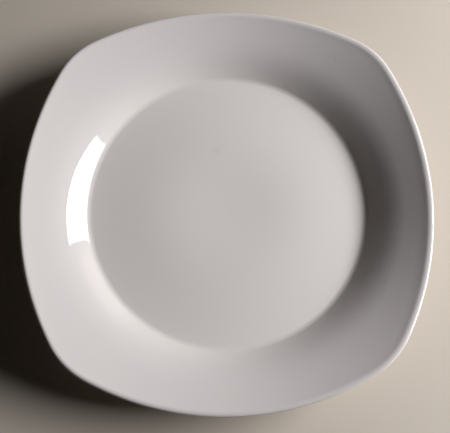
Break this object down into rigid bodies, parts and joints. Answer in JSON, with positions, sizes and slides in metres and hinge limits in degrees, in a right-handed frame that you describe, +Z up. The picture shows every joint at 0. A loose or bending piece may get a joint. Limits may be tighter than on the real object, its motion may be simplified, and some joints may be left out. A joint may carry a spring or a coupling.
{
  "type": "square dinner plate",
  "caption": "Soft-square glazed porcelain dinner plate with bowed sides, rounded corners, a round flat well, a sloping rim and a foot ring; holds a meal.",
  "frame": {"origin": "middle of the surface that the plate stands on, under the middle of the well", "axes": "+Z up along the plate's axis, +X and +Y square to two of its sides"},
  "size_m": [0.26, 0.26, 0.0349],
  "materials": {
    "porcelain": "bare fired body, ground smooth",
    "glaze": "white gloss glaze"
  },
  "bodies": {
    "root": {"porcelain_body": "porcelain", "face_glaze": "glaze", "base_glaze": "glaze"}
  },
  "joints": []
}
